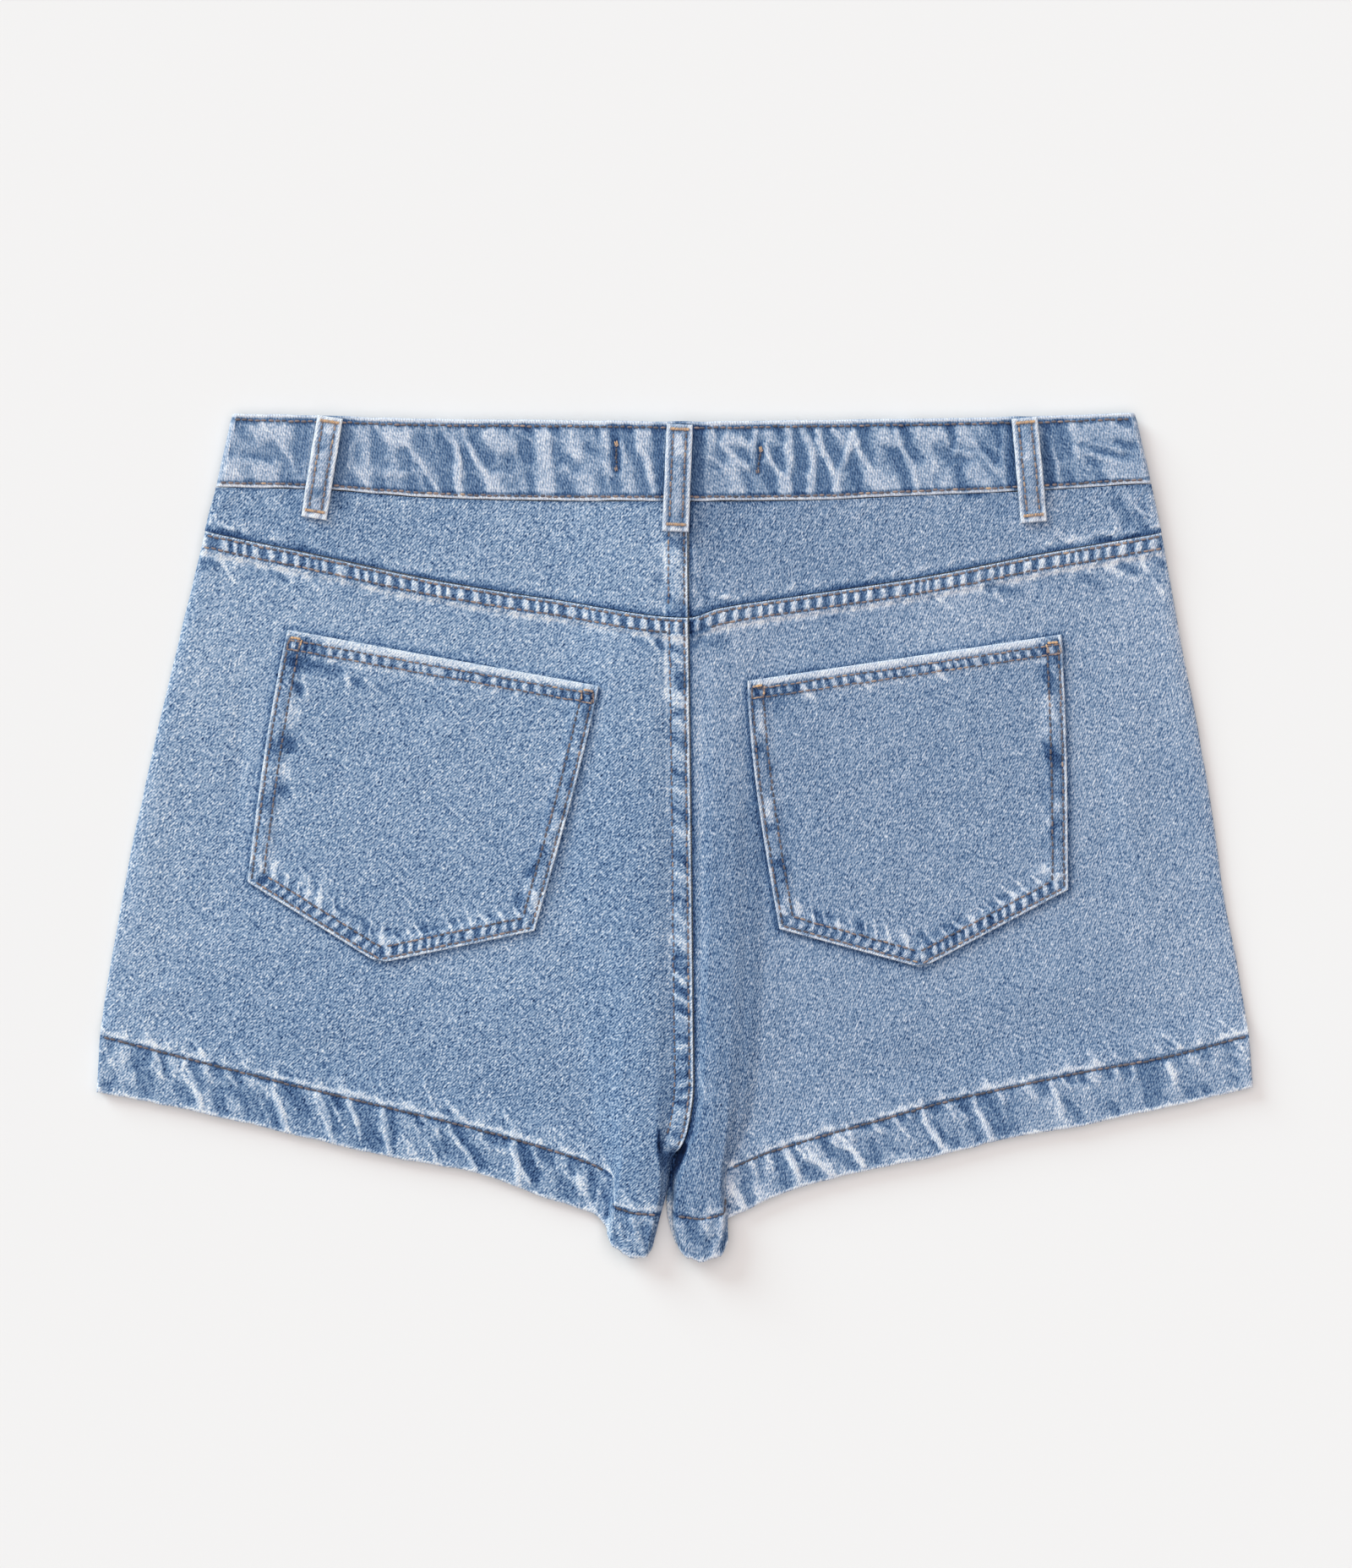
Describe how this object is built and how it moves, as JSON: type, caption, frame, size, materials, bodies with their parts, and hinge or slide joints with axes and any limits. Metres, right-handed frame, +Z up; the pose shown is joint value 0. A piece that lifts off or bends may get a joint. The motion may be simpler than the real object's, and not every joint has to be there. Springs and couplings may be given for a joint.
{
  "type": "denim shorts",
  "caption": "Denim shorts laid flat with the back up: patch pockets, shaped yoke, belt loops, turned-up hems and a pleat at each inner leg.",
  "frame": {"origin": "middle of the footprint on the surface that the shorts lie on", "axes": "+Z up from the surface, +Y towards the waistband, +X towards the wearer's right leg, across the back as it is seen from above; the front lies on the surface"},
  "size_m": [0.5758, 0.4219, 0.0131],
  "materials": {
    "denim_body": "washed denim",
    "denim_trim": "washed denim",
    "tape": "woven tape",
    "metal": "aged"
  },
  "bodies": {
    "root": {"back_left": "denim_body", "back_right": "denim_body", "yoke_left": "denim_body", "yoke_right": "denim_body", "front_left": "denim_body", "front_right": "denim_body", "waistband": "denim_trim", "pocket_left": "denim_trim", "pocket_right": "denim_trim", "loop_back_left": "denim_trim", "loop_back_center": "denim_trim", "loop_back_right": "denim_trim", "loop_front_left": "denim_trim", "loop_front_right": "denim_trim", "fly_zip": "tape", "button": "metal"}
  },
  "joints": []
}
